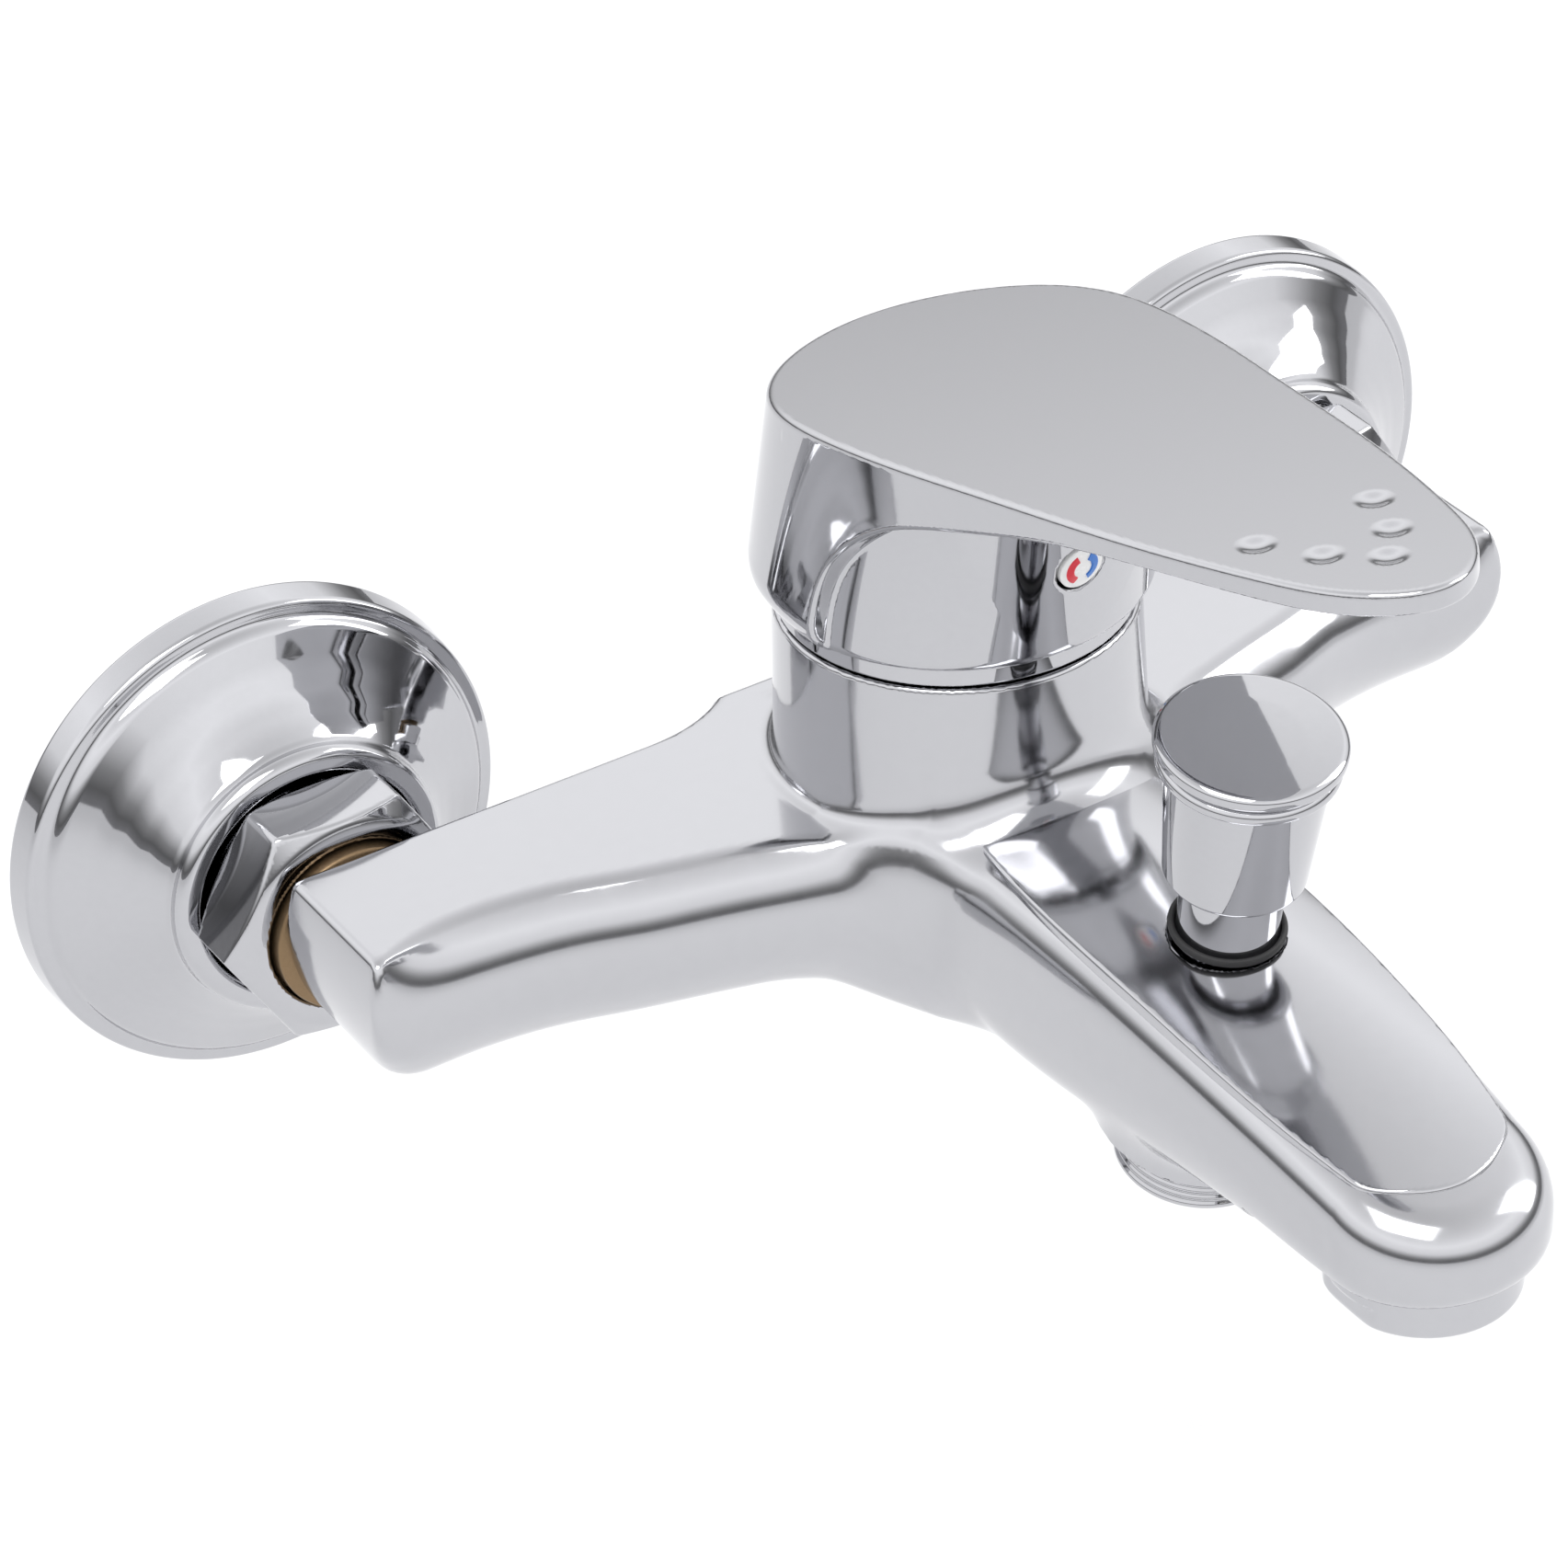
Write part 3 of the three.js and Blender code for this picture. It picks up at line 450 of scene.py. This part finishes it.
def lever_field(x, y, z):
    forward = TOWER_Y - y
    level = PADDLE_Z + PADDLE_SLOPE * forward
    over = (z - level) / math.hypot(1, PADDLE_SLOPE)
    drop = np.clip((level - z) / 24, 0, 1.1)
    near = np.clip(forward / 36, 0, 1)
    shift = 4.5 * drop * (1 - near * near * (3 - 2 * near))
    half_square, slope = OUTLINE(forward + shift)
    side = (x**2 - half_square) / np.sqrt(4 * x**2 + slope**2 + 1) - 1.1 * drop
    edge, lean = LEVER_EDGE(z)
    ahead = (forward - edge) / np.sqrt(1 + lean**2)
    r = np.sqrt(x**2 + forward**2 + 1e-9)
    shell = round_max(side, HANDLE_BASE - z, 6)
    shell = round_max(round_max(shell, over, 0.8), ahead, 0.7)
    flare = DRUM_FLARE * np.clip(forward / DRUM_R, 0, 1) ** 2
    wall = (r - DRUM_R - flare * (z - HANDLE_BASE)) / math.hypot(1, DRUM_FLARE)
    drum = round_max(round_max(wall, HANDLE_BASE + 0.1 - z, 1.6), over + 2, 0.5)
    drum = np.maximum(drum, 2 - forward)
    whole = round_min(shell, drum, 0.5)
    skirt = np.maximum(r - (23.2 - 0.33 * np.maximum(z - 38, 0)), z - 54)
    boss = np.maximum(r - 9, 45 - z)
    hollow = np.maximum(skirt, -boss)
    socket = np.maximum(np.maximum(np.abs(x), np.abs(forward)) - 4.3, z - 55.6)
    screw = rod_field(x, y, z, (0, TOWER_Y, BUTTON_Z), (0, -1, 0), 3.3, 9, 40)
    whole = round_max(whole, -np.minimum(np.minimum(hollow, socket), screw), 0.5)
    for across, along in DIMPLES:
        height = PADDLE_Z + PADDLE_SLOPE * along + DIMPLE_R - DIMPLE_DEPTH
        ball = np.sqrt((x - across) ** 2 + (forward - along) ** 2 + (z - height) ** 2) - DIMPLE_R
        whole = round_max(whole, -ball, 0.3)
    return whole


lever = field_piece("lever_shell", (lever_field, LEVER_LOW - [1, 1, 0], LEVER_HIGH + [1, 1, 0], 0.4))

# The index disc lies in the flared front of the drum, square to its wall.
BUTTON_OUT = DRUM_R + DRUM_FLARE * (BUTTON_Z - HANDLE_BASE)
BUTTON_FACE = 0.35
TO_FRONT = Matrix.Translation((0, TOWER_Y - BUTTON_OUT, BUTTON_Z)) @ Matrix.Rotation(
    math.pi / 2 + math.atan(DRUM_FLARE), 4, "X"
)
button = turned(
    "index_disc",
    [(0, -7), (2.2, -7), (2.2, BUTTON_FACE - 2), (3, BUTTON_FACE - 2), (3, BUTTON_FACE - 0.3),
     (0, BUTTON_FACE)],
    TO_FRONT,
    radius=0.2,
    is_closed=False,
)


def index_arc(name, start, end):
    """A curved stripe standing a hair above the face of the index disc."""
    steps = 24
    made = bmesh.new()
    rows = []
    for i in range(steps + 1):
        a = start + (end - start) * i / steps
        ring = []
        for r, rise in ((1.25, -0.15), (1.25, 0.1), (1.4, 0.16), (2.1, 0.1), (2.25, 0.02), (2.25, -0.15)):
            dome = BUTTON_FACE - 0.3 * (r / 3)
            point = TO_FRONT @ Vector((r * math.cos(a), r * math.sin(a), dome + rise))
            ring.append(made.verts.new(point * MM))
        rows.append(ring)
    for low, high in zip(rows, rows[1:]):
        for j in range(len(low)):
            k = (j + 1) % len(low)
            made.faces.new((low[j], low[k], high[k], high[j]))
    made.faces.new(rows[0])
    made.faces.new(rows[-1])
    bmesh.ops.recalc_face_normals(made, faces=made.faces)
    mesh = bpy.data.meshes.new(name)
    made.to_mesh(mesh)
    made.free()
    return put(name, mesh)


red_mark = index_arc("red_arc", 2.0, 4.2)
blue_mark = index_arc("blue_arc", -1.1, 1.1)

bonnet = turned(
    "bonnet_cover",
    [(20.6, 33.3), (22.5, 33.3), (22.5, 35.8), (21.6, 36.3), (16.8, 39.4), (16, 38.8), (20.6, 35.4)],
    upright(0, TOWER_Y),
)

# ---- Inlets ----

BELL = [
    (13.6, -11.6), (15.4, -11.6), (15.4, -17.2), (16, -17.8), (17.9, -17.8), (18.8, -16.8), (18.8, -15.2),
    (20.6, -13.2), (23.2, -10.9), (26.4, -8.6), (30.4, -6.2), (31.2, -4.9), (33.1, -4.8), (FLANGE_R, 0),
    (32, 0), (31.8, -3.4), (27.2, -5.8), (22, -10), (15.2, -10), (15.2, -5.4), (13.6, -5.4),
]
NUT_SHOULDER = -18.2
NIPPLE = [
    (5.8, -44), (NIPPLE_R, -44), (NIPPLE_R, -31), (11.3, -29.9), (11.3, -24), (13.1, -24), (13.1, -21.6),
    (7, -21.6), (7, -28), (5.8, -30),
]


def nut_field_at(middle):
    def field(x, y, z):
        across = x - middle
        slant = np.abs(z) / 2 + np.abs(across) * math.sqrt(0.75)
        flats = round_max(np.abs(z), slant, 0.6) - HEX_AF / 2
        r = np.sqrt(across**2 + z**2 + 1e-9)
        tilt = 3.4 / 1.9
        front = (r - 14 - (y - NUT_FRONT) * tilt) / math.hypot(1, tilt)
        back = (r - 15 - (NUT_SHOULDER - y) * tilt) / math.hypot(1, tilt)
        whole = round_max(round_max(flats, front, 0.4), np.minimum(back, r - 15), 0.4)
        whole = round_max(whole, np.maximum(NUT_FRONT - y, y + 12.9), 0.5)
        bore = np.minimum(np.maximum(r - 13.5, -24.4 - y), r - 11.7)
        return round_max(whole, -bore, 0.4)

    return field


inlets = []
for side_name, side in (("left", -1), ("right", 1)):
    at = side * INLET_X
    bell = turned(side_name + "_bell", BELL, square_to_wall(at), radius=1.1, segments=200)
    nut_box = (np.array([at - 18, NUT_FRONT, -18]), np.array([at + 18, -12.9, 18]))
    nut = field_piece(side_name + "_hex_nut", (nut_field_at(at), *nut_box, 0.4))
    nipple = turned(side_name + "_nipple", NIPPLE, square_to_wall(at))
    inlets.append((bell, side_name + "_escutcheon", "chrome"))
    inlets.append((nut, side_name + "_union_nut", "chrome"))
    inlets.append((nipple, side_name + "_inlet_nipple", "brass"))


# ---- Diverter knob and outlets ----

knob = turned(
    "knob_skirt",
    [(2.2, 17), (4.8, 17), (4.8, 23.4), (6.8, 23.4), (6.8, 9.6), (8, 9.4), (8.6, 9.9), (9.85, 25.7),
     (10.2, 25.9), (10.9, 26.3), (11, 27.2), (10.4, 27.9), (2.2, 27.9)],
    DIVERTER,
    radius=0.45,
)
cap = turned(
    "knob_cap",
    [(0, 28.2), (10.6, 28.2), (11.4, 28.8), (11.4, 30), (10.7, 30.5), (6, 30.8), (0, 31)],
    DIVERTER,
    radius=0.5,
    is_closed=False,
)
gland = turned(
    "gland_sleeve",
    [(5, -3.4), (6.5, -3.4), (6.5, 0.6), (6.2, 1.2), (6.2, 13.4), (5.7, 13.9), (2.2, 13.9), (2.2, 6), (5, 6)],
    DIVERTER,
)
o_ring = turned(
    "gland_ring",
    [(6.75 + 0.4 * math.cos(a), 0.8 + 0.6 * math.sin(a)) for a in (i * math.tau / 16 for i in range(16))],
    DIVERTER,
    radius=0.05,
)
shower_nipple = turned(
    "shower_nipple",
    [(7, -37.4), (9.7, -37.4), (10.5, -36.6)]
    + [(10.5 - 0.45 * (i % 2), -36.2 + 0.55 * i) for i in range(8)]
    + [(10.5, -31.6), (8.5, -31.6), (8.5, -22.7), (7, -22.7)],
    DIVERTER,
    radius=0.2,
)


def aerator_field(x, y, z):
    """The aerator's collar with two spanner flats and a rounded mouth."""
    r = np.sqrt(x**2 + (y - AERATOR_Y) ** 2 + 1e-9)
    outer = np.maximum(round_max(r - AERATOR_R, -12.4 - z, 1), z + 6.8)
    neck = np.maximum(np.maximum(r - 10.4, z + 1), -12 - z)
    collar = round_min(outer, neck, 0.3)
    flats = np.maximum(np.maximum(AERATOR_R - 0.9 - np.abs(x), z + 9.5), np.abs(y - AERATOR_Y) - 7)
    return round_max(round_max(collar, -flats, 0.3), 9.2 - r, 0.5)


aerator = field_piece("aerator_collar", (aerator_field, AERATOR_LOW, AERATOR_HIGH, 0.4))


# ---- Materials ----


def shader(name):
    made = bpy.data.materials.new(name)
    made.use_nodes = True
    nodes, links = made.node_tree.nodes, made.node_tree.links
    return made, nodes, links, nodes["Principled BSDF"]


def grained(name, color, metallic, rough, grain_scale, bump, variation=0.06, stretch=(1, 1, 1), coat=0.0):
    """A finish whose colour, roughness and relief all vary a little, at the scale of its grain."""
    made, nodes, links, skin = shader(name)
    skin.inputs["Metallic"].default_value = metallic
    if coat:
        skin.inputs["Coat Weight"].default_value = coat
    place = nodes.new("ShaderNodeTexCoord")
    scale = nodes.new("ShaderNodeMapping")
    scale.inputs["Scale"].default_value = stretch
    links.new(place.outputs["Object"], scale.inputs["Vector"])
    noise = nodes.new("ShaderNodeTexNoise")
    noise.inputs["Scale"].default_value = grain_scale
    noise.inputs["Detail"].default_value = 4
    links.new(scale.outputs["Vector"], noise.inputs["Vector"])
    tint = nodes.new("ShaderNodeMix")
    tint.data_type = "RGBA"
    tint.inputs["A"].default_value = (*[c * (1 - variation) for c in color], 1)
    tint.inputs["B"].default_value = (*[min(1, c * (1 + variation)) for c in color], 1)
    links.new(noise.outputs["Fac"], tint.inputs["Factor"])
    links.new(tint.outputs["Result"], skin.inputs["Base Color"])
    spread = nodes.new("ShaderNodeMapRange")
    spread.inputs["To Min"].default_value = rough[0]
    spread.inputs["To Max"].default_value = rough[1]
    links.new(noise.outputs["Fac"], spread.inputs["Value"])
    links.new(spread.outputs["Result"], skin.inputs["Roughness"])
    relief = nodes.new("ShaderNodeBump")
    relief.inputs["Strength"].default_value = bump
    relief.inputs["Distance"].default_value = 0.0001
    links.new(noise.outputs["Fac"], relief.inputs["Height"])
    links.new(relief.outputs["Normal"], skin.inputs["Normal"])
    return made


CHROME = (0.48, 0.482, 0.5)
FINISHES = {
    "chrome": grained("polished chrome", CHROME, 1, (0.03, 0.07), 900, 0.004, 0.02),
    # Brass's own brown-yellow, darkened far below real brass as painted shade for the shadowed gap behind the
    # union nuts where the inlet nipples sit.
    "brass": grained("brass darkened as painted shade", (0.24, 0.165, 0.095), 1, (0.35, 0.5), 2500, 0.15, 0.12),
    "steel": grained("stainless steel", (0.66, 0.67, 0.69), 1, (0.18, 0.34), 2200, 0.12, 0.06),
    "rubber": grained("black rubber", (0.018, 0.018, 0.019), 0, (0.5, 0.7), 3000, 0.3, 0.2),
    "fibre": grained("sealing fibre", (0.2, 0.12, 0.07), 0, (0.75, 0.95), 1800, 0.6, 0.25),
    "acetal": grained("moulded acetal", (0.85, 0.84, 0.8), 0, (0.4, 0.55), 1500, 0.1, 0.03),
    "ceramic": grained("lapped ceramic", (0.92, 0.91, 0.87), 0, (0.12, 0.25), 4000, 0.05, 0.02),
    "white_plastic": grained("white plastic", (0.9, 0.9, 0.89), 0, (0.2, 0.32), 1500, 0.05, 0.02),
    "red_paint": grained("red print", (0.72, 0.03, 0.05), 0, (0.25, 0.4), 2500, 0.15, 0.08),
    "blue_paint": grained("blue print", (0.03, 0.18, 0.6), 0, (0.25, 0.4), 2500, 0.15, 0.08),
}
CASTING = grained("chromed casting", CHROME, 1, (0.09, 0.15), 500, 0.01, 0.02)
SATIN = grained("satin chrome", CHROME, 1, (0.12, 0.2), 700, 0.03, 0.03, stretch=(6, 0.35, 6))


def finish(piece, name):
    piece.data.materials.clear()
    piece.data.materials.append(FINISHES[name])


for sub_part in frame["record"]["subparts"]:
    finish(frame["nodes"][sub_part["node"]], sub_part["material_slot"])


def declare(piece, body_name, node, slot_name):
    finish(piece, slot_name)
    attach(piece, body_name)
    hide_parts(node)


declare(body, "mixer_body", "body_casting", "chrome")
declare(lever, "lever", "handle_lever", "chrome")
declare(button, "lever", "index_button", "white_plastic")
declare(red_mark, "lever", "red_index_mark", "red_paint")
declare(blue_mark, "lever", "blue_index_mark", "blue_paint")
declare(bonnet, "mixer_body", "bonnet_ring", "chrome")
declare(knob, "diverter", "diverter_knob", "chrome")
declare(cap, "diverter", "diverter_knob_cap", "chrome")
declare(gland, "mixer_body", "diverter_gland", "chrome")
declare(o_ring, "mixer_body", "diverter_o_ring", "rubber")
declare(shower_nipple, "mixer_body", "shower_outlet_nipple", "chrome")
declare(aerator, "mixer_body", "aerator_housing", "chrome")
for piece, node_name, slot_name in inlets:
    declare(piece, "mixer_body", node_name, slot_name)

body.data.materials[0] = CASTING
lever.data.materials.append(SATIN)
paddle_normal = Vector((0, PADDLE_SLOPE, 1)).normalized()
for face in lever.data.polygons:
    level = PADDLE_Z + PADDLE_SLOPE * (TOWER_Y - face.center.y / MM)
    if face.center.z / MM > level - 1.2 and face.normal.dot(paddle_normal) > 0.9:
        face.material_index = 1


# ---- Studio and camera ----


def studio_world():
    world = bpy.data.worlds.new("studio")
    bpy.context.scene.world = world
    world.use_nodes = True
    nodes, links = world.node_tree.nodes, world.node_tree.links
    place = nodes.new("ShaderNodeTexCoord")
    split = nodes.new("ShaderNodeSeparateXYZ")
    links.new(place.outputs["Generated"], split.inputs["Vector"])
    ramp = nodes.new("ShaderNodeValToRGB")
    ramp.color_ramp.elements[0].position = 0.0
    ramp.color_ramp.elements[0].color = (0.3, 0.3, 0.31, 1)
    ramp.color_ramp.elements[1].position = 1.0
    ramp.color_ramp.elements[1].color = (1.0, 1.0, 1.01, 1)
    for at, shade in ((0.05, 0.2), (0.14, 0.45), (0.3, 1.4), (0.55, 1.7), (0.8, 1.3)):
        element = ramp.color_ramp.elements.new(at)
        element.color = (shade, shade, shade * 1.01, 1)
    links.new(split.outputs["Z"], ramp.inputs["Fac"])
    links.new(ramp.outputs["Color"], nodes["Background"].inputs["Color"])
    nodes["Background"].inputs["Strength"].default_value = 0.9


def softbox(name, at, size, power, target=(0, -0.06, 0.02)):
    data = bpy.data.lights.new(name, "AREA")
    data.shape = "RECTANGLE"
    data.size, data.size_y = size
    data.energy = power
    made = bpy.data.objects.new(name, data)
    bpy.context.scene.collection.objects.link(made)
    made.location = at
    made.rotation_mode = "QUATERNION"
    made.rotation_quaternion = (Vector(target) - Vector(at)).to_track_quat("-Z", "Y")


def floor():
    made = bmesh.new()
    bmesh.ops.create_grid(made, x_segments=8, y_segments=8, size=6)
    mesh = bpy.data.meshes.new("floor")
    made.to_mesh(mesh)
    made.free()
    piece = put("floor", mesh)
    piece.location.z = -0.16
    piece.data.materials.append(grained("pale floor", (0.74, 0.74, 0.745), 0, (0.6, 0.8), 30, 0.02, 0.01))


studio_world()
floor()
softbox("key light", (-0.5, -0.5, 1.3), (0.9, 0.7), 9)
softbox("right light", (1.1, -0.4, 0.7), (0.5, 0.9), 5)

AZIMUTH, ELEVATION, ROLL = math.radians(-30.84), math.radians(34.33), math.radians(-2.85)
TARGET = Vector((-21.7, -50.0, 11.0)) * MM
DISTANCE = 0.68166
back = Vector(
    (
        math.sin(AZIMUTH) * math.cos(ELEVATION),
        -math.cos(AZIMUTH) * math.cos(ELEVATION),
        math.sin(ELEVATION),
    )
)
right = (-back).cross(Vector((0, 0, 1))).normalized()
up = right.cross(-back)
rolled_right = right * math.cos(ROLL) + up * math.sin(ROLL)
rolled_up = up * math.cos(ROLL) - right * math.sin(ROLL)
camera_data = bpy.data.cameras.new("camera")
camera_data.sensor_width = 36
camera_data.lens = 126.1
camera_data.shift_x = -0.0146
camera_data.shift_y = 0.0019
camera = bpy.data.objects.new("camera", camera_data)
bpy.context.scene.collection.objects.link(camera)
turn = Matrix((rolled_right, rolled_up, back)).transposed().to_4x4()
camera.matrix_world = Matrix.Translation(TARGET + back * DISTANCE) @ turn
bpy.context.scene.camera = camera
bpy.context.scene.view_settings.view_transform = "Standard"
